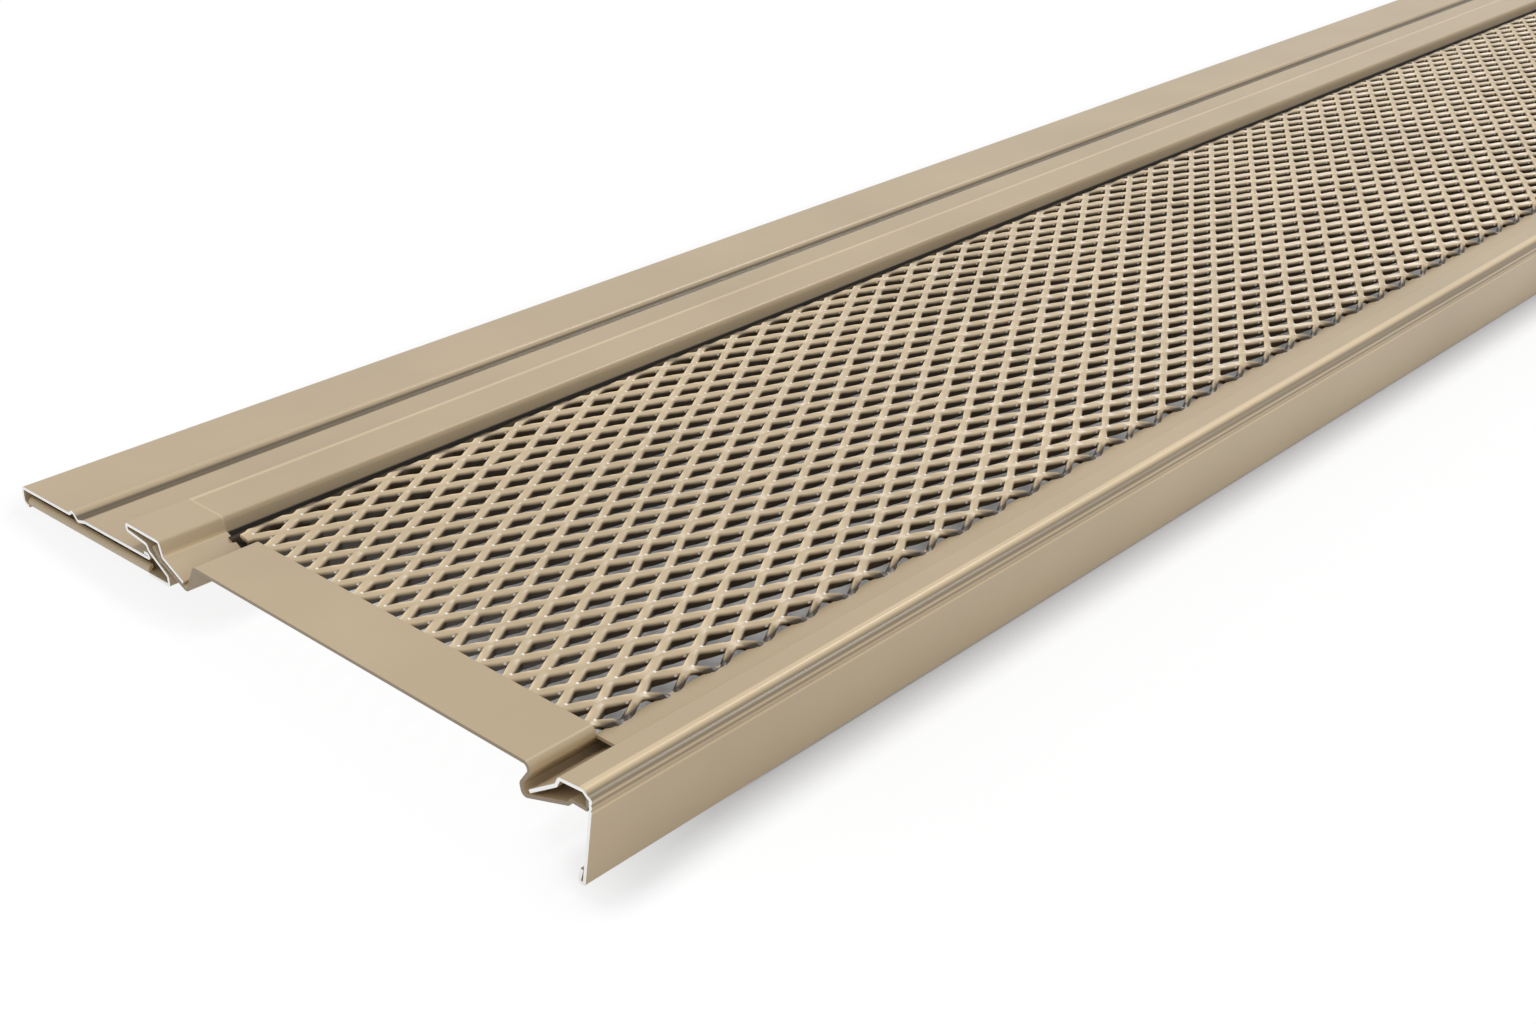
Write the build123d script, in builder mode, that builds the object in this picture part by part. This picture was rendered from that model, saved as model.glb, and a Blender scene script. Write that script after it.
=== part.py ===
# Gutter guard: a panel of raised expanded metal held in two roll-formed rails.
# Millimetres. X runs along the stock, Y from the gutter's front lip to the roof, Z is up.
# The origin is on the floor under the middle of the guard, as it lies unheld.
from math import asin, atan2, cos, degrees, hypot, radians, sin, tan
import os

from build123d import *

# Whole guard
length = 1219.2
sheet = 0.6
seam_gap = 0.06
bend = 0.55
tight_bend = 0.42
edge_bend = 0.32

# Expanded metal: a diamond is one long way by one short way, from strand to strand
long_way = 9.2
short_way = 5.74
strand = 1.3
mesh_depth = 1.8
bays = 10
least_tab = 10.0
least_land = 0.4
rear_reach = 6.3
ledge_run = 3.1

# Panel: the flat between its two bends, then the seams that its edges are formed to
flat_width = 78.4
front_neck_run = 0.2
front_neck_drop = 1.6
front_bulge_run = 1.7
front_bulge_drop = 4.1
front_valley_run = 1.4
front_valley_drop = 5.9
valley_bend = 0.7
under_leg_run = 7.6
under_leg_drop = 2.95
under_step_run = 0.8
under_step_rise = 0.85
front_edge_run = 0.25
front_edge_rise = 1.6
rear_riser_run = 3.1
rear_valley_drop = 5.4
rear_valley_bend = 0.9
tongue_run = 6.9
tongue_slope = 23.0
selvage_length = 2.6
selvage_slope = 52.0
selvage_depth = 1.1

# Front rail: skirt with an open hem, nose, deck, and the leg that the panel's valley traps
nose_bend = 1.0
nose_height = 2.4
crease_run = 0.6
crease_drop = 0.95
crease_bend = 0.5
front_deck_run = 6.5
front_deck_rise = 0.2
front_deck_fall = 0.45
front_step_run = 0.75
front_step_drop = 1.3
leg_reach = 5.45
leg_seat = 0.85
skirt_height = 11.9
skirt_lean = 9.8
hem_height = 2.4
hem_width = 1.0

# Rear rail: lip, deck, leg and diagonal close on the panel's tongue, then a folded flange
deck_setback = 9.85
deck_rise = 0.85
deck_width = 9.5
step_run = 0.55
step_drop = 2.3
lip_slope = 27.4
lip_length = 6.0
deck_fold = 1.1
leg_run = 5.6
leg_fall = 0.6
shank_run = 0.45
shank_drop = 1.05
diagonal_run = 4.75
diagonal_drop = 2.85
foot_drop = 1.65
flange_fall = 1.3
lower_flange = 46.66
flange_gap = 3.15
fold_lean = 0.35
top_fold_bend = 0.6
low_fold_bend = 1.1
top_flange = 41.2
bead_setback = 14.8
bead_width = 2.6
bead_height = 0.85
groove_width = 2.6
groove_depth = 0.45
bead_bend = 0.8
edge_hem = 1.3

# Rolled hem across the near end of the rear rail's lower flange
curl_height = 1.8
curl_front_clear = 6.0
curl_rear_clear = 1.6


def ahead(start, distance, slope):
    """The point that lies a distance from start, at a slope in degrees."""
    angle = radians(slope)
    return (start[0] + distance * cos(angle), start[1] + distance * sin(angle))


# Sections are drawn level: right is toward the roof, and zero height is the mesh's top.
# Each path follows the middle of its sheet.
middle = sheet / 2
flat_front = front_deck_run + front_step_run + leg_reach
flat_rear = flat_front + flat_width

# Panel, from its rear edge to its front edge
rear_valley = (flat_rear + rear_riser_run, -rear_valley_drop)
tongue_rise = tongue_run * tan(radians(tongue_slope))
selvage_foot = (rear_valley[0] + tongue_run, rear_valley[1] + tongue_rise)
selvage_head = ahead(selvage_foot, selvage_length, selvage_slope)
front_valley = (flat_front + front_valley_run, -front_valley_drop)
under_foot = (flat_front - under_leg_run, -under_leg_drop)
under_step = (under_foot[0] - under_step_run, under_foot[1] + under_step_rise)
edge_foot = (middle + sheet + seam_gap + front_edge_run, under_step[1])

with BuildSketch() as panel_section:
    with BuildLine():
        FilletPolyline(
            selvage_head,
            selvage_foot,
            rear_valley,
            (flat_rear, -middle),
            (flat_front, -middle),
            (flat_front - front_neck_run, -front_neck_drop),
            (flat_front + front_bulge_run, -front_bulge_drop),
            front_valley,
            under_foot,
            under_step,
            edge_foot,
            (edge_foot[0], edge_foot[1] + front_edge_rise),
            radius=[
                bend,
                rear_valley_bend,
                bend,
                bend,
                bend,
                valley_bend,
                valley_bend,
                tight_bend,
                tight_bend,
                tight_bend,
            ],
        )
    trace(line_width=sheet)
    # The strand along the cut edge is thicker than the sheet
    with Locations(ahead(selvage_foot, selvage_length / 2, selvage_slope)):
        SlotOverall(selvage_length + selvage_depth, selvage_depth, rotation=selvage_slope)

# Front rail, from the end of its leg to the top of its hem
deck_edge = (front_deck_run, front_deck_rise)
deck_foot = (deck_edge[0] + front_step_run, deck_edge[1] - front_step_drop)
leg_end_run = deck_foot[0] + leg_reach
under_slope = (under_foot[1] - front_valley[1]) / (front_valley[0] - under_foot[0])
leg_end = (leg_end_run, front_valley[1] + (front_valley[0] - leg_end_run) * under_slope + leg_seat)
nose_top = (middle, front_deck_rise + front_deck_fall)
nose_foot = (middle, nose_top[1] - nose_height)
crease = (nose_foot[0] + crease_run, nose_foot[1] - crease_drop)
skirt_foot = (crease[0] + skirt_height * tan(radians(skirt_lean)), crease[1] - skirt_height)
hem_foot = ahead(skirt_foot, hem_width, skirt_lean)
hem_top = (crease[0] + (skirt_height - hem_height) * tan(radians(skirt_lean)) + sheet + seam_gap,
           skirt_foot[1] + hem_height)

with BuildSketch() as front_section:
    with BuildLine():
        FilletPolyline(
            leg_end,
            deck_foot,
            deck_edge,
            nose_top,
            nose_foot,
            crease,
            skirt_foot,
            hem_foot,
            hem_top,
            radius=[bend, bend, nose_bend, nose_bend, crease_bend, tight_bend, tight_bend],
        )
    trace(line_width=sheet)

# Rear rail, from the tip of its lip to the hem on its top flange
deck_front = (flat_rear + deck_setback, deck_rise)
step_foot = (deck_front[0] - step_run, deck_front[1] - step_drop)
lip_tip = ahead(step_foot, -lip_length, lip_slope)
deck_rear = (deck_front[0] + deck_width, deck_rise)
leg_rear = (deck_rear[0], deck_rise - deck_fold)
leg_front = (leg_rear[0] - leg_run, leg_rear[1] - leg_fall)
shank_foot = (leg_front[0] - shank_run, leg_front[1] - shank_drop)
diagonal_foot = (shank_foot[0] - diagonal_run, shank_foot[1] - diagonal_drop)
seam_foot = (diagonal_foot[0], diagonal_foot[1] - foot_drop)
low_fold = ahead(seam_foot, lower_flange / cos(radians(flange_fall)), -flange_fall)
top_fold = (low_fold[0] - fold_lean, low_fold[1] + flange_gap)
bead_rear = ahead(top_fold, -bead_setback, -flange_fall)
bead_top = ahead(bead_rear, -bead_width / 2, -flange_fall)
bead_front = ahead(bead_rear, -bead_width, -flange_fall)
groove_front = ahead(bead_front, -groove_width, -flange_fall)
flange_front = ahead(top_fold, -top_flange, -flange_fall)
hem_turn = (flange_front[0], flange_front[1] + sheet + seam_gap)

with BuildSketch() as rear_section:
    with BuildLine():
        FilletPolyline(
            lip_tip,
            step_foot,
            deck_front,
            deck_rear,
            leg_rear,
            leg_front,
            shank_foot,
            diagonal_foot,
            seam_foot,
            low_fold,
            top_fold,
            bead_rear,
            (bead_top[0], bead_top[1] + bead_height),
            (bead_front[0], bead_front[1] - groove_depth),
            groove_front,
            flange_front,
            hem_turn,
            ahead(hem_turn, edge_hem, -flange_fall),
            radius=[
                bend,
                bend,
                tight_bend,
                tight_bend,
                bend,
                bend,
                bend,
                tight_bend,
                low_fold_bend,
                top_fold_bend,
                bead_bend,
                bead_bend,
                bead_bend,
                bead_bend,
                edge_bend,
                edge_bend,
            ],
        )
    trace(line_width=sheet)

# At rest the guard lies on its skirt's hem and its rear fold, so the level section is tilted
hem_centre = ((skirt_foot[0] + hem_foot[0]) / 2, skirt_foot[1] + tight_bend)
fold_centre = (low_fold[0] - low_fold_bend, low_fold[1] + low_fold_bend)
rise = fold_centre[1] - hem_centre[1]
span = fold_centre[0] - hem_centre[0]
rest_tilt = atan2(rise, span) - asin((low_fold_bend - tight_bend) / hypot(rise, span))
leaning = Compound([s.sketch for s in (panel_section, front_section, rear_section)])
outline = leaning.rotate(Axis.Z, -degrees(rest_tilt)).bounding_box()
stock = Plane(
    origin=(-length / 2, -outline.center().X, -outline.min.Y),
    x_dir=(0, cos(rest_tilt), -sin(rest_tilt)),
    z_dir=(1, 0, 0),
)

# The mesh window: whole diamonds in bays along the stock, and staggered rows across it.
# Between the end tabs the mesh runs on over the rear valley, almost to the rear rail's step.
cells = int((length - 2 * least_tab) / (bays * long_way))
bay_length = cells * long_way
end_tab = (length - bays * bay_length) / 2
window_front = flat_front + bend
window_rear = flat_rear + rear_reach
window_width = window_rear - window_front
window_middle = (window_front + window_rear) / 2
row_pitch = short_way / 2
diamond_height = short_way - strand
rows = int((window_width - 2 * least_land - diamond_height) / row_pitch) + 1
slant = atan2(short_way, long_way)
diamond_length = long_way - strand / sin(slant)
first_row = -(rows - 1) * row_pitch / 2

with BuildPart() as panel_frame:
    with BuildSketch(stock):
        add(panel_section.sketch)
    extrude(amount=length)
    with BuildSketch(stock.offset(end_tab)):
        with Locations((window_middle, 0)):
            Rectangle(window_width, 2 * mesh_depth)
    extrude(amount=bays * bay_length, mode=Mode.SUBTRACT)
    # The unslit ledge that the mesh comes down to, beside the front deck
    with BuildSketch(stock.offset(end_tab)):
        with Locations((flat_front - front_neck_run - ledge_run / 2, -front_neck_drop)):
            Rectangle(ledge_run, sheet)
    extrude(amount=bays * bay_length)
panel_frame.part.label = "panel_frame"

with BuildPart() as front_rail:
    with BuildSketch(stock):
        add(front_section.sketch)
    extrude(amount=length)
front_rail.part.label = "front_rail"

# Lengthwise section plane on the lower flange: right is along the stock, up is out of the flange
curl_rear = ahead(low_fold, -curl_rear_clear, -flange_fall)
curl_width = lower_flange - curl_rear_clear - curl_front_clear
curl_radius = curl_height / 2
flange_line = Plane(
    origin=stock.from_local_coords(curl_rear),
    x_dir=(1, 0, 0),
    z_dir=stock.from_local_coords(seam_foot) - stock.from_local_coords(low_fold),
)

with BuildPart() as rear_rail:
    with BuildSketch(stock):
        add(rear_section.sketch)
    extrude(amount=length)
    # The flange's end is cut back, and rolls up and back on itself as a half round
    with BuildSketch(flange_line):
        with Locations((curl_radius / 2, 0)):
            Rectangle(curl_radius, 2 * sheet)
    extrude(amount=curl_width, mode=Mode.SUBTRACT)
    with BuildSketch(flange_line):
        with BuildLine():
            CenterArc((curl_radius, curl_radius - middle), curl_radius - middle, 90, 180)
        trace(line_width=sheet)
    extrude(amount=curl_width)
rear_rail.part.label = "rear_rail"

mesh_top = Plane(
    origin=stock.from_local_coords((window_middle, 0)) + Vector(end_tab + bay_length / 2, 0, 0),
    x_dir=(1, 0, 0),
    z_dir=stock.y_dir,
)

with BuildPart() as mesh_bay:
    with BuildSketch(mesh_top):
        Rectangle(bay_length, window_width)
        for row in range(rows):
            offset_row = row % 2
            with Locations((0, first_row + row * row_pitch)):
                with GridLocations(long_way, short_way, cells + 1 - offset_row, 1):
                    Polygon(
                        (-diamond_length / 2, 0),
                        (0, -diamond_height / 2),
                        (diamond_length / 2, 0),
                        (0, diamond_height / 2),
                        mode=Mode.SUBTRACT,
                    )
    extrude(amount=-mesh_depth)

os.makedirs("parts", exist_ok=True)
for piece in (panel_frame, front_rail, rear_rail):
    export_step(piece.part, f"parts/{piece.part.label}.step", write_pcurves=False)
for number in range(bays):
    bay = mesh_bay.part.moved(Location((number * bay_length, 0, 0)))
    bay.label = f"mesh_bay_{number + 1:02d}"
    export_step(bay, f"parts/{bay.label}.step", write_pcurves=False)
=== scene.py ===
# Gutter guard: its looks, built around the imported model.
# Section sizes are in millimetres: run goes from the gutter's lip to the roof, rise goes up,
# and zero rise is the top of the mesh before the guard is tilted to lie on the floor.
from math import cos, radians, sin
import bpy
import numpy as np
from mathutils import Euler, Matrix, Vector


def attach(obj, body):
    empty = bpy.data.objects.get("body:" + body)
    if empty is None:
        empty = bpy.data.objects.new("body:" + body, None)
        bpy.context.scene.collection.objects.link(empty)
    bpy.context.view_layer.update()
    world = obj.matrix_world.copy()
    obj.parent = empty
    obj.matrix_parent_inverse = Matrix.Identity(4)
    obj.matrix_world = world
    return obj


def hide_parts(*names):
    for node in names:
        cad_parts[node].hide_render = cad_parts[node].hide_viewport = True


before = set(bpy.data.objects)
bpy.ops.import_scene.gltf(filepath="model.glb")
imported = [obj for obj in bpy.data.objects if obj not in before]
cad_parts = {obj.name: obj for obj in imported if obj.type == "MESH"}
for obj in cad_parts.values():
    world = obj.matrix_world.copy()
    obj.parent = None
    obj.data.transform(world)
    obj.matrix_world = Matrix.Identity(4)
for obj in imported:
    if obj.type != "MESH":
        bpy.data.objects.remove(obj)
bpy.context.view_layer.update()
mm = 0.001

stock = {
    "length": 1219.2,
    "sheet": 0.6,
    "restTilt": 2.8834,              # degrees, with the roof side low
    "sectionAt": (-72.950, 15.0207),
    "cutBevel": 0.05,                # where the shear left the ends
    "edgeEase": (0.0, 0.05, 0.13),   # rounding of a sheet's long edges: how far in, and the
    "edgeHalf": (0.62, 0.9, 1.0),    # share of the half thickness there
    "bendSteps": 8,                  # facets in each bend
    "guard": (0.2, 0.01, 0.3),       # guard points: share of the straight part, least and most
    "endTab": 11.6,
}


def placed(x, run, rise):
    # Section points go into the frame: turned by the rest tilt, shifted, and made metres.
    # x is counted from the near end.
    tilt = radians(stock["restTilt"])
    y = stock["sectionAt"][0] + run * cos(tilt) + rise * sin(tilt)
    z = stock["sectionAt"][1] - run * sin(tilt) + rise * cos(tilt)
    return np.stack(np.broadcast_arrays(x - stock["length"] / 2, y, z), axis=-1) * mm


def roundedPath(corners):
    # A polyline whose inner corners (run, rise, radius) are arcs: centre + radius * (cos, sin)
    # of an angle that sweeps from the normal of one run to the normal of the next. A guard
    # point stands on each run beside each arc, so that smooth shading stays inside the bend.
    # Returns the points and the heading at each.
    corners = np.array(corners, float)
    points, radius = corners[:, :2], corners[1:-1, 2]
    runs = np.diff(points, axis=0)
    heading = np.unwrap(np.arctan2(runs[:, 1], runs[:, 0]))
    turn = np.diff(heading)
    touch = radius * np.tan(np.abs(turn) / 2)
    room = np.linalg.norm(runs, axis=1) - np.append(touch, 0) - np.insert(touch, 0, 0)
    guardShare, least, most = stock["guard"]
    guard = np.clip(guardShare * room, least, most)
    along = np.stack([np.cos(heading), np.sin(heading)], axis=1)
    start = points[1:-1] - along[:-1] * touch[:, None]
    side = np.sign(turn)[:, None] * np.stack([-along[:-1, 1], along[:-1, 0]], axis=1)
    centre = start + side * radius[:, None]
    sweep = np.linspace(0, 1, stock["bendSteps"] + 1)
    angle = np.arctan2(-side[:, 1], -side[:, 0])[:, None] + turn[:, None] * sweep
    spokes = np.stack([np.cos(angle), np.sin(angle)], axis=-1)
    arcs = centre[:, None] + radius[:, None, None] * spokes
    before = start - along[:-1] * guard[:-1, None]
    after = arcs[:, -1] + along[1:] * guard[1:, None]
    bent = np.concatenate([before[:, None], arcs, after[:, None]], axis=1).reshape(-1, 2)
    bentHeading = heading[:-1, None] + turn[:, None] * np.concatenate([[0], sweep, [1]])
    return (np.concatenate([points[:1], bent, points[-1:]]),
            np.concatenate([heading[:1], bentHeading.ravel(), heading[-1:]]))


def lengthAlong(points):
    # Distance along a polyline at each of its points.
    return np.insert(np.cumsum(np.linalg.norm(np.diff(points, axis=0), axis=1)), 0, 0)


def cutPath(path, first=None, last=None, extra=()):
    # The part of a path between two distances along it, with extra points at other distances.
    points, heading = path
    reach = lengthAlong(points)
    first = reach[0] if first is None else first
    last = reach[-1] if last is None else last
    at = np.sort(np.concatenate([[first, last], extra, reach[(reach > first) & (reach < last)]]))
    run, rise, aim = (np.interp(at, reach, values) for values in (*points.T, heading))
    return np.stack([run, rise], axis=1), aim


def gridFaces(rows, columns):
    # Quads between neighbouring rows of a grid whose last column joins its first.
    row, column = np.meshgrid(np.arange(rows - 1), np.arange(columns), indexing="ij")
    beside = (column + 1) % columns
    quads = [row * columns + column, row * columns + beside,
             (row + 1) * columns + beside, (row + 1) * columns + column]
    return np.stack(quads, axis=-1).reshape(-1, 4)


def sheetFaces(grid):
    # The quads of a grid whose columns go along one face of a sheet and back on the other, with
    # a strip of quads between the faces at each end.
    rows, columns = grid.shape[:2]
    i = np.arange(columns // 2 - 1)
    strip = np.stack([i, i + 1, columns - 2 - i, columns - 1 - i], axis=1)
    return np.concatenate([gridFaces(rows, columns), strip[:, ::-1], strip + (rows - 1) * columns])


def meshObject(name, points, quads, material, nodes, sharp=38):
    # Puts the arrays into a mesh, facing outwards: the quads turn round if the volume that
    # they close, a sum of triple products, comes out below zero.
    a, b, c, d = (points[quads[:, i]] for i in range(4))
    volume = np.sum(a * np.cross(b, c)) + np.sum(a * np.cross(c, d))
    quads = quads if volume > 0 else quads[:, ::-1]
    mesh = bpy.data.meshes.new(name)
    mesh.vertices.add(len(points))
    mesh.vertices.foreach_set("co", points.astype(np.float32).ravel())
    mesh.loops.add(quads.size)
    mesh.loops.foreach_set("vertex_index", quads.astype(np.int32).ravel())
    mesh.polygons.add(len(quads))
    mesh.polygons.foreach_set("loop_start", np.arange(0, quads.size, 4, dtype=np.int32))
    mesh.polygons.foreach_set("use_smooth", np.ones(len(quads), bool))
    mesh.update(calc_edges=True)
    mesh.set_sharp_from_angle(angle=radians(sharp))
    mesh.materials.append(material)
    piece = bpy.data.objects.new(name, mesh)
    bpy.context.scene.collection.objects.link(piece)
    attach(piece, "root")
    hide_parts(*nodes)
    print(name, len(points), "points,", 2 * len(quads), "triangles")
    return piece


def carriedSheet(name, path, half, x, material, nodes, wave=None, cutBack=0.0):
    # A sheet's section carried along the stock: grid rows are stations in x, and columns go
    # along the path on one face (point + normal * half) and back on the other. The path's two
    # edges are eased, the ends shrink by the bevel, and strips of quads close them.
    # wave(x, run) moves both faces along the normal, and cutBack shortens the near end.
    points, heading = path
    half, cutBack = np.broadcast_to(half, len(points)), np.broadcast_to(cutBack, len(points))
    ease, easeHalf = np.array(stock["edgeEase"]), np.array(stock["edgeHalf"])
    ahead = np.stack([np.cos(heading[[0, -1]]), np.sin(heading[[0, -1]])], axis=1)
    points = np.concatenate([points[0] + ease[:, None] * ahead[0], points[1:-1],
                             points[-1] - ease[::-1, None] * ahead[1]])
    heading = np.concatenate([np.repeat(heading[0], 3), heading[1:-1], np.repeat(heading[-1], 3)])
    half = np.concatenate([half[0] * easeHalf, half[1:-1], half[-1] * easeHalf[::-1]])
    cutBack = np.concatenate([np.repeat(cutBack[0], 3), cutBack[1:-1], np.repeat(cutBack[-1], 3)])
    normal = np.stack([-np.sin(heading), np.cos(heading)], axis=1)
    bevel = stock["cutBevel"]
    x = np.concatenate([[x[0], x[0] + bevel], x[1:-1], [x[-1] - bevel, x[-1]]])
    thin = np.zeros(len(x))
    thin[[0, -1]] = bevel
    middle = np.repeat(points[None], len(x), axis=0)
    if wave is not None:
        middle = middle + wave(x[:, None], points[None, :, 0])[..., None] * normal[None]
    reach = (half[None] - thin[:, None])[..., None] * normal[None]
    section = np.concatenate([middle + reach, (middle - reach)[:, ::-1]], axis=1)
    station = np.repeat(x[:, None], 2 * len(points), axis=1)
    station[:2] += np.concatenate([cutBack, cutBack[::-1]])
    grid = placed(station, section[..., 0], section[..., 1])
    return meshObject(name, grid.reshape(-1, 3), sheetFaces(grid), material, nodes)


def addNode(tree, kind, inputs=None, **settings):
    # A shader node; each input is a value, or another node's output to link.
    made = tree.nodes.new(kind)
    for setting, value in settings.items():
        setattr(made, setting, value)
    for slot, value in (inputs or {}).items():
        if isinstance(value, bpy.types.NodeSocket):
            tree.links.new(value, made.inputs[slot])
        else:
            made.inputs[slot].default_value = value
    return made


# Clay-coloured coil paint on aluminium, with painted light and shade
paint = {
    "colour": (0.540, 0.420, 0.265),
    "paler": 1.05,                   # where the coat's clouds are lightest
    "darker": 0.95,
    "cloudRange": (0.3, 0.7),        # of the noise, between those two
    "cloudSize": 0.035,              # m
    "cloudDetail": 3.0,
    "grainSize": 0.0005,
    "grainDetail": 2.0,
    "grainDepth": 0.000006,
    "roughness": 0.36,
    "bare": (0.86, 0.86, 0.85),
    "bareRoughness": 0.3,
    "bareDepth": 0.03,               # mm from the end
    "dull": (11.6, 1207.6, 95.5, 100.8, -3.4, -1.4),     # the gap under the rear step has no gloss
    "edgeColour": (0.30, 0.225, 0.145),     # the panel's cut edges, coated too
    "paintedLightBands": (                      # painted shade and painted highlights: limits in x, run and rise, and the share of colour left
        (0, 1300, 125.5, 127.75, -5.1, 9.0, 0.33),       # painted shade in the groove before the bead
        (0, 1300, 128.0, 129.0, -5.1, 9.0, 1.1),         # painted highlight on the bead
        (11.6, 1300, 109.4, 110.5, 0.5, 9.0, 1.3),       # painted highlight along the rear fold of the deck
        (11.25, 11.65, 100.5, 126.0, -0.6, 9.0, 1.2),    # painted highlight on the crease across it, at the tab
        (11.6, 1207.6, 99.5, 101.5, -1.3, 0.2, 0.8),     # painted shade at the foot of its step
        (11.6, 1207.6, 95.5, 100.8, -3.4, -1.4, 0.02),   # painted shade in the gap under the step
        # painted highlight at the foot of the step beside the tab
        (0, 11.4, 99.3, 100.4, -1.5, -1.0, 1.25),
        (0, 1300, 1.4, 2.7, 0.6, 1.0, 1.4),              # painted highlight on the nose
        (0, 1300, 0.2, 1.45, -0.3, 0.42, 0.5),           # painted shade in its first groove, painted highlight on the ridge, painted shade in the second groove
        (0, 1300, -0.5, 0.6, -0.65, -0.3, 1.15),
        (0, 1300, -0.5, 1.4, -1.3, -0.85, 0.68),
        (0, 1300, -0.5, 1.4, -2.45, -2.1, 1.32),         # painted highlight on the top of the skirt
    ),
    "shadeSoft": (0.1, 0.14),        # their soft edges along x, and across
    "meshPaintedLift": 1.14,               # painted light: the mesh's colour lifted above the rails'
    "rimHighlight": 1.75,                     # painted highlight along its upper edges
    "rimHighlightFall": 3.0,
    "wallShadeColour": (0.045, 0.029, 0.015),    # painted shade down the mesh's sheared walls
    "wallFrom": -0.38,               # rise at which that painted shade begins, and where it is full
    "wallTo": -0.95,
    "knuckleGlint": (0.97, 0.96, 0.94),   # painted glints, white, on the bare burrs at the ends of the mesh's slits
    "knuckles": ((-3.45, 0.0, -0.15), (2.75, 0.4, -0.6)),  # mm from an opening's middle
    "knuckleSize": 0.24,
    "knuckleSoft": (1.3, 0.5),       # shares of the size's square where a knuckle starts and is full
}


def calc(tree, operation, *values):
    # A math node; returns its output.
    return addNode(tree, "ShaderNodeMath", dict(enumerate(values)), operation=operation).outputs[0]


def mixColours(tree, share, first, second, blend="MIX"):
    # A colour mix; first and second are colours or outputs.
    made = tree.nodes.new("ShaderNodeMix")
    made.data_type, made.blend_type = "RGBA", blend
    for slot, value in ((0, share), (6, first), (7, second)):
        if isinstance(value, bpy.types.NodeSocket):
            tree.links.new(value, made.inputs[slot])
        else:
            made.inputs[slot].default_value = (*value, 1.0) if isinstance(value, tuple) else value
    return made.outputs[2]


def sectionNodes(tree, place):
    # The section's run and rise in mm, and x from the near end, from the place in the frame.
    tilt = radians(stock["restTilt"])
    y = calc(tree, "MULTIPLY_ADD", place.outputs["Y"], 1 / mm, -stock["sectionAt"][0])
    z = calc(tree, "MULTIPLY_ADD", place.outputs["Z"], 1 / mm, -stock["sectionAt"][1])
    run = calc(tree, "SUBTRACT", calc(tree, "MULTIPLY", y, cos(tilt)),
               calc(tree, "MULTIPLY", z, sin(tilt)))
    rise = calc(tree, "ADD", calc(tree, "MULTIPLY", y, sin(tilt)),
                calc(tree, "MULTIPLY", z, cos(tilt)))
    x = calc(tree, "MULTIPLY_ADD", place.outputs["X"], 1 / mm, stock["length"] / 2)
    return x, run, rise


def band(tree, value, first, last, soft):
    # 1 where a value lies between two limits, with soft edges.
    up, down = (addNode(tree, "ShaderNodeMapRange", {"Value": value, "From Min": at - width,
                                                     "From Max": at + width}).outputs["Result"]
                for at, width in ((first, soft), (last, -soft)))
    return calc(tree, "MULTIPLY", up, down)


def boxNodes(tree, x, run, rise, limits):
    # 1 inside limits in x, run and rise, with soft edges.
    alongSoft, acrossSoft = paint["shadeSoft"]
    across = calc(tree, "MULTIPLY", band(tree, run, *limits[2:4], acrossSoft),
                  band(tree, rise, *limits[4:6], acrossSoft))
    return calc(tree, "MULTIPLY", across, band(tree, x, *limits[:2], alongSoft))


def knuckleNodes(tree, x, run, rise):
    # The distance from a knuckle of the nearest opening, in a lattice whose rows are staggered.
    x = calc(tree, "SUBTRACT", x, stock["endTab"])
    nearest = None
    for along, across, height in paint["knuckles"]:
        for shift in (0.0, 0.5):
            offsets = []
            for at, first, pitch in ((x, along, mesh["longWay"]),
                                     (run, across + mesh["firstRow"], 2 * mesh["rowPitch"])):
                cell = calc(tree, "MULTIPLY_ADD", at, 1 / pitch, -first / pitch - shift)
                aside = calc(tree, "SUBTRACT", cell, calc(tree, "ROUND", cell))
                offsets.append(calc(tree, "MULTIPLY", aside, pitch))
            offsets.append(calc(tree, "SUBTRACT", rise, height))
            square = calc(tree, "MULTIPLY", offsets[0], offsets[0])
            for offset in offsets[1:]:
                square = calc(tree, "MULTIPLY_ADD", offset, offset, square)
            nearest = square if nearest is None else calc(tree, "MINIMUM", nearest, square)
    start, full = (share * paint["knuckleSize"] ** 2 for share in paint["knuckleSoft"])
    knuckleGlint = addNode(tree, "ShaderNodeMapRange", {"Value": nearest, "From Min": start,
                                                   "From Max": full})
    return knuckleGlint.outputs["Result"]


def stripLightAndShade(tree, colour, x, run, rise):
    # Painted shade darkens the grooves, step and gap of a strip, and painted highlights brighten its
    # folds, bead, nose and skirt top.
    for *limits, left in paint["paintedLightBands"]:
        share = calc(tree, "MULTIPLY_ADD", boxNodes(tree, x, run, rise, limits), left - 1.0, 1.0)
        colour = mixColours(tree, 1.0, colour, share, blend="MULTIPLY")
    return colour


def meshLightAndShade(tree, colour, x, run, rise):
    # On the mesh the colour carries painted light and shade: the whole coat is lifted, painted
    # highlights lie along the rims, painted shade darkens down the walls of the openings, and a painted
    # glint shines on the burr at each end of each slit.
    knuckleGlint = knuckleNodes(tree, x, run, rise)
    deep = addNode(tree, "ShaderNodeMapRange", {"Value": rise, "From Min": paint["wallFrom"],
                                                "From Max": paint["wallTo"]})
    rimHighlight = addNode(tree, "ShaderNodeAttribute", attribute_name="rimHighlight")
    paintedLight = calc(tree, "POWER", rimHighlight.outputs["Fac"], paint["rimHighlightFall"])
    paintedLight = calc(tree, "MULTIPLY_ADD", paintedLight, paint["rimHighlight"] - paint["meshPaintedLift"], paint["meshPaintedLift"])
    colour = mixColours(tree, 1.0, colour, paintedLight, blend="MULTIPLY")
    colour = mixColours(tree, deep.outputs["Result"], colour, paint["wallShadeColour"])
    return mixColours(tree, knuckleGlint, colour, paint["knuckleGlint"])


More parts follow.
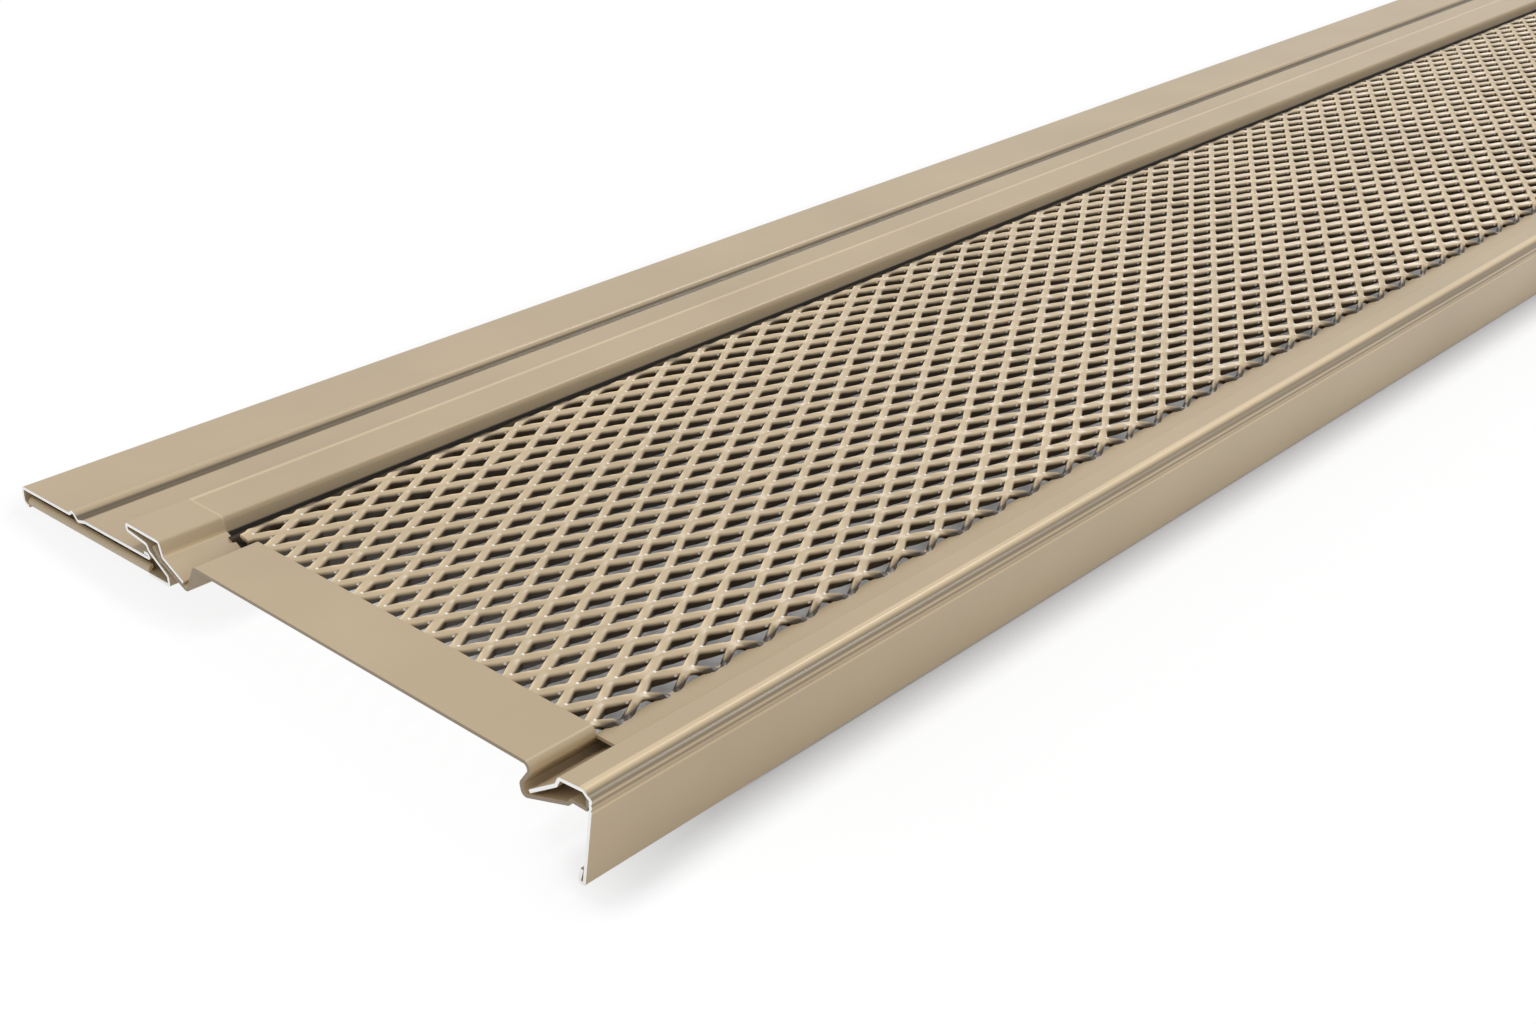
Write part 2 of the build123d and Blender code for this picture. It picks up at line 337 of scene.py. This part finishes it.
def coilPaint(name, expanded=False, bareEdges=True):
    # Clouds of noise vary the coat's colour a little, and fine noise gives its skin. The
    # sheared ends show bare metal, or on the panel a thin coat.
    material = bpy.data.materials.new(name)
    material.use_nodes = True
    tree = material.node_tree
    shader = tree.nodes["Principled BSDF"]
    frameAt = addNode(tree, "ShaderNodeTexCoord").outputs["Object"]
    clouds = addNode(tree, "ShaderNodeTexNoise", {"Vector": frameAt, "Scale": 1 / paint["cloudSize"],
                                                  "Detail": paint["cloudDetail"]})
    least, most = paint["cloudRange"]
    shade = addNode(tree, "ShaderNodeMapRange", {"Value": clouds.outputs["Fac"],
                                                 "From Min": least, "From Max": most,
                                                 "To Min": paint["darker"], "To Max": paint["paler"]})
    colour = mixColours(tree, 1.0, paint["colour"], shade.outputs["Result"], blend="MULTIPLY")
    apart = addNode(tree, "ShaderNodeSeparateXYZ", {"Vector": frameAt})
    x, run, rise = sectionNodes(tree, apart)
    # Painted light and shade go into the colour here.
    coat = meshLightAndShade if expanded else stripLightAndShade
    colour = coat(tree, colour, x, run, rise)
    endAt = (stock["length"] / 2 - paint["bareDepth"]) * mm
    bare = calc(tree, "GREATER_THAN", calc(tree, "ABSOLUTE", apart.outputs["X"]), endAt)
    edge = paint["bare"] if bareEdges else paint["edgeColour"]
    tree.links.new(mixColours(tree, bare, colour, edge), shader.inputs["Base Color"])
    bare = calc(tree, "MULTIPLY", bare, float(bareEdges))
    polish = addNode(tree, "ShaderNodeMapRange", {"Value": bare, "To Min": paint["roughness"],
                                                  "To Max": paint["bareRoughness"]})
    dull = 0.0 if expanded else boxNodes(tree, x, run, rise, paint["dull"])
    tree.links.new(calc(tree, "MAXIMUM", polish.outputs["Result"], dull), shader.inputs["Roughness"])
    tree.links.new(bare, shader.inputs["Metallic"])
    grain = addNode(tree, "ShaderNodeTexNoise", {"Vector": frameAt, "Scale": 1 / paint["grainSize"],
                                                 "Detail": paint["grainDetail"]})
    skin = addNode(tree, "ShaderNodeBump", {"Height": grain.outputs["Fac"], "Strength": 1.0,
                                            "Distance": paint["grainDepth"]})
    tree.links.new(skin.outputs["Normal"], shader.inputs["Normal"])
    return material


sheetPaint = coilPaint("coil_paint")
panelPaint = coilPaint("coil_paint_panel", bareEdges=False)
print("paint mixed")

# Stations along the stock; the long wave is what roll forming leaves in a flat strip
lengthwise = {"stations": 41, "tabStations": 5, "waveLength": 170.0}


def stations(start, end):
    # Even steps in x between two places.
    count = max(2, int(round(lengthwise["stations"] * (end - start) / stock["length"])) + 1)
    return np.linspace(start, end, count)


# Rear rail: lip, step, deck, leg, diagonal and foot, then the folded flange with its bead
rearRail = {
    "corners": [                     # run, rise, bend radius
        (95.073, -4.211, 0), (100.35, -1.65, 0.5), (100.95, 0.85, 0.36), (110.45, 0.85, 0.42),
        (110.45, -0.25, 0.42), (104.85, -0.85, 0.55), (104.4, -1.9, 0.55), (99.65, -4.75, 0.55),
        (99.65, -6.4, 0.42), (146.265, -7.428, 1.1), (145.915, -4.309, 0.6), (130.0, -3.950, 0.8),
        (128.7, -3.070, 0.7), (127.3, -4.45, 0.6), (124.9, -3.830, 0.8),
        (104.771, -3.374, 0.32), (104.771, -2.714, 0.32), (106.071, -2.744, 0),
    ],
    "curlFront": 105.65,             # the rolled end hem, from this run to the next
    "curlRear": 144.7,
    "curlHeight": 1.8,
    "curlSteps": (25, 41),           # points round it, and along it
    "flangeLevel": -6.3,             # the lower flange lies below this rise
    "flangeStart": (99.65, -6.4),
    "flangeFall": -0.022696,
    "wave": 0.03,
    "waveSlant": 40.0,               # run over which it shifts by a radian
}


def railWave(x, run):
    # A slow sine along the stock.
    shift = run / rearRail["waveSlant"]
    return rearRail["wave"] * np.sin(2 * np.pi * x / lengthwise["waveLength"] + shift)


railPath = roundedPath(rearRail["corners"])
reach = lengthAlong(railPath[0])
low = int(np.flatnonzero(railPath[0][:, 1] < rearRail["flangeLevel"])[0])
notchStep = 0.02                     # the end jumps back within this distance
notch = [reach[low] + rearRail[side] - railPath[0][low, 0] + step
         for side in ("curlFront", "curlRear") for step in (0.0, notchStep)]
railPath = cutPath(railPath, extra=notch)
reach = lengthAlong(railPath[0])
curlRadius = rearRail["curlHeight"] / 2
inNotch = (reach > notch[0] + notchStep / 2) & (reach < notch[3] - notchStep / 2)
carriedSheet("rear_rail_sheet", railPath, stock["sheet"] / 2, stations(0, stock["length"]), sheetPaint,
             ["rear_rail"], wave=railWave, cutBack=np.where(inNotch, curlRadius, 0.0))


def rolledHem():
    # The flange's end rolls up and back on itself: half circles (radius * cos, radius * sin) for
    # the sheet's outer and inner face, about a line that lies across the stock.
    around, across = rearRail["curlSteps"]
    turn = np.linspace(-np.pi / 2, -3 * np.pi / 2, around)
    circle = np.stack([np.cos(turn), np.sin(turn)], axis=1)
    ring = np.concatenate([curlRadius * circle, (curlRadius - stock["sheet"]) * circle[::-1]])
    run = np.linspace(rearRail["curlFront"], rearRail["curlRear"], across)[:, None]
    startRun, startRise = rearRail["flangeStart"]
    rise = startRise + (run - startRun) * rearRail["flangeFall"] + curlRadius - stock["sheet"] / 2
    grid = placed(stock["cutBevel"] + curlRadius + ring[None, :, 0], run, rise + ring[None, :, 1])
    return meshObject("rear_rail_end_hem", grid.reshape(-1, 3), sheetFaces(grid), sheetPaint,
                      ["rear_rail"])


rolledHem()

# Front rail: leg, step, deck, fluted nose, skirt and open hem
frontRail = {
    "corners": [
        (12.7, -4.591, 0), (7.25, -1.1, 0.55), (6.5, 0.25, 0.55), (1.9, 0.6, 0.5),
        (1.15, -0.05, 0.4), (0.42, -0.35, 0.32), (0.85, -1.05, 0.4), (0.6, -1.5, 0.32),
        (1.0, -1.85, 0.32), (0.8, -2.25, 0.3), (2.956, -14.6, 0.42),
        (3.941, -14.43, 0.42), (3.201, -12.2, 0),
    ],
    "wave": 0.02,
    "wavePhase": 1.3,
}


def frontWave(x, run):
    # A slow sine along the stock.
    phase = frontRail["wavePhase"]
    return frontRail["wave"] * np.sin(2 * np.pi * x / lengthwise["waveLength"] + phase)


carriedSheet("front_rail_sheet", roundedPath(frontRail["corners"]), stock["sheet"] / 2,
             stations(0, stock["length"]), sheetPaint, ["front_rail"], wave=frontWave)

# Panel: its section from the front edge to the selvage, for the tabs and both formed edges
panel = {
    "corners": [
        (1.21, -0.5, 0), (1.21, -2.1, 0.42), (4.3, -2.1, 0.42), (5.1, -2.95, 0.42), (14.1, -5.9, 0.7),
        (14.4, -4.1, 0.7), (12.5, -1.6, 0.55), (12.7, -0.3, 0.9), (91.1, -0.3, 0.7),
        (94.2, -5.4, 0.9), (101.1, -2.471, 0.55), (102.701, -0.422, 0),
    ],
    "selvage": 1.1,                  # thickness of the strand along the rear cut edge
    "selvageLength": 2.8,
    "selvageBlend": (0.3, 0.5),      # how far before it the sheet thickens, and over what length
    "selvageSteps": (1.0, 0.5, 0.0, -0.5),  # points in that blend, in shares of the first
    "flatRun": 50.0,                 # a place on the flat middle
    "frontEdgeEnds": 11.1,           # where the unslit edges begin, as distances along the sheet
    "rearEdgeBegins": 92.6,
    "ledge": [(8.25, -1.68, 0), (9.0, -1.64, 0.5), (12.55, -1.64, 0)],
}

panelPath = roundedPath(panel["corners"])
flatPoint = int(np.argmax(panelPath[0][:, 0] > panel["flatRun"]))
panelZero = lengthAlong(panelPath[0])[flatPoint] - panelPath[0][flatPoint, 0]
panelEnd = lengthAlong(panelPath[0])[-1]


def panelHalf(path):
    # Half the sheet's thickness, growing smoothly to the selvage's at the rear cut edge.
    left = lengthAlong(path[0])[-1] - lengthAlong(path[0])
    before, blend = panel["selvageBlend"]
    grown = np.clip((panel["selvageLength"] + before - left) / blend, 0, 1)
    extra = (panel["selvage"] - stock["sheet"]) / 2
    return stock["sheet"] / 2 + extra * grown * grown * (3 - 2 * grown)


selvageMarks = (panelEnd - panel["selvageLength"]
                - panel["selvageBlend"][0] * np.array(panel["selvageSteps"]))
wholePanel = cutPath(panelPath, extra=selvageMarks)
rearEdge = cutPath(panelPath, first=panelZero + panel["rearEdgeBegins"], extra=selvageMarks)
frontEdge = cutPath(panelPath, last=panelZero + panel["frontEdgeEnds"])
ledge = roundedPath(panel["ledge"])
farTab = stock["length"] - stock["endTab"]
nearStations = np.linspace(0, stock["endTab"], lengthwise["tabStations"])
farStations = np.linspace(farTab, stock["length"], lengthwise["tabStations"])
between = stations(stock["endTab"], farTab)
for name, path, half, x in (
    ("panel_tab_near", wholePanel, panelHalf(wholePanel), nearStations),
    ("panel_tab_far", wholePanel, panelHalf(wholePanel), farStations),
    ("panel_front_edge", frontEdge, stock["sheet"] / 2, between),
    ("panel_ledge", ledge, stock["sheet"] / 2, between),
    ("panel_rear_edge", rearEdge, panelHalf(rearEdge), between),
):
    carriedSheet(name, path, half, x, panelPaint, ["panel_frame"])

# Expanded mesh: one long strand between each two rows of openings, bonded to both in turn
mesh = {
    "longWay": 9.2,
    "rowPitch": 2.87,
    "firstRow": 16.58,               # run of the middle of the first row of openings
    "halfOpening": 2.05,             # half of an opening's short way
    "tip": 0.95,                     # 1 for sharp corners beside the bonds
    "bond": 2.5,                     # length over which two strands are one
    "drop": 0.2,                     # how much lower a strand's front edge is than its rear edge
    "wall": (1.0, 0.5),              # depth of the front edge, and what the wide corners add to it
    "seed": 7,
    "uneven": (0.16, 0.1),           # spread of the openings' half height, and of their edges' rise
    "unevenHeight": (-0.35, 0.3),    # and how far each may go
    "unevenRise": (-0.2, 0.1),
    "roll": 0.42,                    # round of the front edge, and shares of it back and down
    "rollPoints": ((1.0, 0.0), (0.42, 0.12), (0.1, 0.48), (0.0, 1.1)),
    "undercut": 0.1,
    "grow": (6, 0.03),               # how fast chamfer and roll grow from a bond, and the least share
    "chamfer": 0.11,
    "strands": (-1, 29),             # counted from the first row, over both of the panel's bends
    "cellsPerField": 26,
    "fields": 5,
    "marks": (0.0, 0.35, 1.25, 1.45, 3.15, 3.35, 4.25),
    "intoTab": 0.5,
    "corners": [                     # from the ledge beside the front deck to the rear step
        (8.9, -1.6, 0), (12.15, -1.6, 0.6), (12.95, -0.3, 0.8), (95.7, -0.3, 1.2), (99.8, -2.3, 0),
    ],
}

meshPaint = coilPaint("coil_paint_mesh", expanded=True)
meshPath = roundedPath(mesh["corners"])
meshFlat = int(np.argmax(meshPath[0][:, 0] > panel["flatRun"]))
meshZero = lengthAlong(meshPath[0])[meshFlat] - meshPath[0][meshFlat, 0]


def alongPanel(distance, height):
    # A distance along the mesh's middle and a height off it, as run and rise.
    points, heading = meshPath
    reach = lengthAlong(points) - meshZero
    aim = np.interp(distance, reach, heading)
    run = np.interp(distance, reach, points[:, 0]) - height * np.sin(aim)
    return run, np.interp(distance, reach, points[:, 1]) + height * np.cos(aim)


chance = np.random.default_rng(mesh["seed"])
openingCount = (mesh["strands"][1] - mesh["strands"][0] + 3,
                mesh["fields"] * mesh["cellsPerField"] + 2)
unevenHeight = np.clip(chance.normal(0, mesh["uneven"][0], openingCount), *mesh["unevenHeight"])
unevenRise = np.clip(chance.normal(0, mesh["uneven"][1], openingCount), *mesh["unevenRise"])


def fieldPlaces(number):
    # Places along the strands of a field, from its start and as x: the marks after every half
    # long way. The first and the last field reach into the tabs.
    half = mesh["longWay"] / 2
    cells = mesh["cellsPerField"]
    local = (np.arange(2 * cells)[:, None] * half + np.array(mesh["marks"])).ravel()
    local = np.append(local, 2 * cells * half)
    x = stock["endTab"] + number * cells * mesh["longWay"] + local
    if number == 0:
        x[0] -= mesh["intoTab"]
    if number == mesh["fields"] - 1:
        x[-1] += mesh["intoTab"]
    return local, x


def side(fromBond):
    # 0 along a bond, growing evenly to 1 at an opening's wide corner.
    grown = (fromBond - mesh["bond"] / 2) / (mesh["longWay"] / 2 - mesh["bond"] / 2)
    return np.minimum(np.clip(grown, 0, 1), mesh["tip"])


def strandEdges(number, local):
    # Each strand lies between the straight sides of the openings behind it and in front of it.
    # For its rear and its front edge: how far it has left the bond, its distance along the
    # panel and its height. The two edges rise and fall between the bonds so that bonded
    # strands meet flush. Row r of openings lies behind strand r, and its openings are centred
    # on the odd or even halves.
    half = mesh["longWay"] / 2
    cells = mesh["cellsPerField"]
    away = np.abs((local + half) % mesh["longWay"] - half)
    strand = np.arange(mesh["strands"][0], mesh["strands"][1] + 1)[:, None]
    fromRear = np.where(strand % 2 == 1, away, half - away)
    opensBehind, opensInFront = side(fromRear), side(half - fromRear)
    row = strand - mesh["strands"][0] + 1
    cellBehind, cellInFront = (
        ((local + half * (odd % 2)) / mesh["longWay"] + 0.5).astype(int) + number * cells
        for odd in (strand, strand + 1))
    heightBehind = mesh["halfOpening"] + unevenHeight[row, cellBehind]
    heightInFront = mesh["halfOpening"] + unevenHeight[row - 1, cellInFront]
    bondBehind = mesh["firstRow"] + strand * mesh["rowPitch"]
    rear = bondBehind - heightBehind * opensBehind
    front = bondBehind - mesh["rowPitch"] + heightInFront * opensInFront
    share = np.clip((fromRear - mesh["bond"] / 2) / (half - mesh["bond"]), 0, 1)
    share = share * share * (3 - 2 * share)
    rearTop = mesh["drop"] * (share - 1)
    frontTop = rearTop - mesh["drop"] + unevenRise[row - 1, cellInFront] * opensInFront
    rearTop = np.minimum(rearTop + unevenRise[row, cellBehind] * opensBehind, 0)
    return (opensBehind, rear, rearTop), (opensInFront, front, frontTop)


def strandSections(behind, inFront):
    # A strand has eight points in section, which leans from its rear edge down to its front
    # edge: the rear edge with its chamfer, the roll of the front edge, and the undercut foot of
    # the front edge's wall. Returns their run and rise.
    opensBehind, rear, rearTop = behind
    opensInFront, front, frontTop = inFront
    grow, least = mesh["grow"]
    roll = mesh["roll"] * np.clip(opensInFront * grow, least, 1)
    cut = mesh["chamfer"] * np.clip(opensBehind * grow, least, 1)
    wall = mesh["wall"][0] + mesh["wall"][1] * opensInFront
    lean = (rearTop - frontTop) / (rear - front)
    back, down = np.array(mesh["rollPoints"]).T
    rollDown = -roll[..., None] * down
    rollDown[..., 0] = roll * lean
    across = np.concatenate([np.stack([rear, rear, rear - cut], axis=-1),
                             front[..., None] + roll[..., None] * back,
                             front[..., None] + mesh["undercut"]], axis=-1)
    height = np.concatenate([np.stack([rearTop - stock["sheet"], rearTop - cut, rearTop], axis=-1),
                             frontTop[..., None] + rollDown, (frontTop - wall)[..., None]], axis=-1)
    return alongPanel(across, height + stock["sheet"] / 2)


def meshField(number):
    # The strands of two bays, each a tube that carries its section along x, closed by three quads at
    # each end. The attribute that places the painted rim highlight is 1 on a rear edge that has left
    # its bond.
    local, x = fieldPlaces(number)
    behind, inFront = strandEdges(number, local)
    run, rise = strandSections(behind, inFront)
    grid = placed(np.broadcast_to(x[None, :, None], run.shape), run, rise)
    count, rows, columns = grid.shape[:3]
    tube = gridFaces(rows, columns)
    cap = np.array([[0, 1, 2, 7], [7, 2, 3, 6], [6, 3, 4, 5]])
    tube = np.concatenate([tube, cap[:, ::-1], cap + (rows - 1) * columns])
    quads = (tube[None] + (np.arange(count) * rows * columns)[:, None, None]).reshape(-1, 4)
    bays = [f"mesh_bay_{bay:02d}" for bay in (2 * number + 1, 2 * number + 2)]
    piece = meshObject(f"mesh_field_{number + 1}", grid.reshape(-1, 3), quads, meshPaint, bays,
                       sharp=42)
    rimHighlight = np.zeros(grid.shape[:3])
    rimHighlight[..., 1:3] = np.clip(behind[0] * mesh["grow"][0], 0, 1)[..., None]
    rims = piece.data.attributes.new("rimHighlight", "FLOAT", "POINT")
    rims.data.foreach_set("value", rimHighlight.astype(np.float32).ravel())


for number in range(mesh["fields"]):
    meshField(number)

# Floor, light and camera
studio = {
    "floorLit": 0.24,                # white that takes light and shadow, as the camera sees it
    "floorLift": 0.78,               # white, lifted, that a painted contact shadow darkens
    "contact": 0.009,                # m, how far that painted shadow reaches
    "contactSamples": 8,
    "insideLit": 0.6,                # painted shade: a darker white that takes light under the guard
    "insideX": (-0.588, 0.605, 0.004),      # where that is: from, to and soft edge
    "insideY": (-0.067, 0.03, 0.003),
    "nearLit": 0.06,                 # and before its near end, where painted light keeps the floor white
    "nearContact": 0.93,
    "nearSlant": -0.35,              # that part of the floor ends at a slanted line
    "nearEdge": (-0.532, -0.587),
    "floorBounce": 0.75,             # the floor's own white, for the light that it throws back
    "insideBounce": 0.12,            # and under the guard, painted darker as shade
    "floorSize": 80.0,
    "sky": 0.74,
    "sun": 0.75,
    "sunFrom": (0.64, 0.18, 0.75),
    "sunAngle": 8.0,                 # degrees, a wide lamp for soft shadows
    "fill": 0.12,
    "fillFrom": (-0.5, -0.8, 0.25),
}


def floorPaint():
    # Matt white. Outside the guard's footprint it is lifted to white where the camera sees it, less a
    # painted contact shadow beside the guard. Inside, it is painted darker as shade, and before the
    # near end painted light lifts away nearly all its shadow.
    material = bpy.data.materials.new("white_floor")
    material.use_nodes = True
    tree = material.node_tree
    shader = tree.nodes["Principled BSDF"]
    shader.inputs["Roughness"].default_value = 1.0
    shader.inputs["Specular IOR Level"].default_value = 0.0
    shader.inputs["Emission Color"].default_value = (1.0, 1.0, 1.0, 1.0)
    frameAt = addNode(tree, "ShaderNodeTexCoord").outputs["Object"]
    at = addNode(tree, "ShaderNodeSeparateXYZ", {"Vector": frameAt})
    inside = calc(tree, "MULTIPLY", band(tree, at.outputs["X"], *studio["insideX"]),
                  band(tree, at.outputs["Y"], *studio["insideY"]))
    slanted = calc(tree, "MULTIPLY_ADD", at.outputs["Y"], studio["nearSlant"], at.outputs["X"])
    near = addNode(tree, "ShaderNodeMapRange", {"Value": slanted, "From Min": studio["nearEdge"][0],
                                                "From Max": studio["nearEdge"][1]})
    ray = addNode(tree, "ShaderNodeLightPath")
    seen = calc(tree, "MAXIMUM", ray.outputs["Is Camera Ray"], ray.outputs["Is Glossy Ray"])
    openLit = addNode(tree, "ShaderNodeMapRange", {"Value": near.outputs["Result"],
                                                   "To Min": studio["floorLit"],
                                                   "To Max": studio["nearLit"]})
    lit = addNode(tree, "ShaderNodeMapRange", {"Value": inside, "To Min": openLit.outputs["Result"],
                                               "To Max": studio["insideLit"]})
    bounce = addNode(tree, "ShaderNodeMapRange", {"Value": inside, "To Min": studio["floorBounce"],
                                                  "To Max": studio["insideBounce"]})
    white = addNode(tree, "ShaderNodeMapRange", {"Value": seen, "To Min": bounce.outputs["Result"],
                                                 "To Max": lit.outputs["Result"]})
    tree.links.new(white.outputs["Result"], shader.inputs["Base Color"])
    contact = addNode(tree, "ShaderNodeAmbientOcclusion", {"Distance": studio["contact"]},
                      samples=studio["contactSamples"])
    leastLeft = calc(tree, "MULTIPLY", near.outputs["Result"], studio["nearContact"])
    contactLeft = calc(tree, "MAXIMUM", contact.outputs["AO"], leastLeft)
    lifted = calc(tree, "SUBTRACT", studio["floorLit"] + studio["floorLift"], openLit.outputs["Result"])
    lift = calc(tree, "MULTIPLY", seen, calc(tree, "SUBTRACT", 1.0, inside))
    lift = calc(tree, "MULTIPLY", lift, calc(tree, "MULTIPLY", contactLeft, lifted))
    tree.links.new(lift, shader.inputs["Emission Strength"])
    return material


def whiteFloor():
    # One square, level with the guard's lowest edges.
    size = studio["floorSize"] / 2
    floorMesh = bpy.data.meshes.new("floor")
    corners = [(-size, -size, 0), (size, -size, 0), (size, size, 0), (-size, size, 0)]
    floorMesh.from_pydata(corners, [], [(0, 1, 2, 3)])
    floorMesh.materials.append(floorPaint())
    floor = bpy.data.objects.new("floor", floorMesh)
    bpy.context.scene.collection.objects.link(floor)


def softLight():
    # An even white sky, a wide sun and a weak fill from the front.
    world = bpy.data.worlds.new("sky")
    world.use_nodes = True
    background = world.node_tree.nodes["Background"]
    background.inputs["Color"].default_value = (1.0, 1.0, 1.0, 1.0)
    background.inputs["Strength"].default_value = studio["sky"]
    bpy.context.scene.world = world
    for name in ("sun", "fill"):
        light = bpy.data.lights.new(name, "SUN")
        light.energy = studio[name]
        light.angle = radians(studio["sunAngle"])
        lamp = bpy.data.objects.new(name, light)
        lamp.rotation_euler = Vector(studio[name + "From"]).to_track_quat("Z", "Y").to_euler()
        bpy.context.scene.collection.objects.link(lamp)


whiteFloor()
softLight()

camera = {
    "lens": 45.27,
    "sensor": 36.0,
    "place": (-0.73803, -0.21829, 0.16321),
    "turn": (61.085, -1.3523, -46.8634),   # degrees about X, Y and Z
    "clip": (0.01, 30.0),
}
view = bpy.data.cameras.new("photo_view")
view.lens, view.sensor_width = camera["lens"], camera["sensor"]
view.clip_start, view.clip_end = camera["clip"]
eye = bpy.data.objects.new("photo_view", view)
eye.location = camera["place"]
eye.rotation_euler = Euler([radians(angle) for angle in camera["turn"]])
bpy.context.scene.collection.objects.link(eye)
bpy.context.scene.camera = eye
bpy.context.scene.view_settings.view_transform = "Standard"

print("stage set")
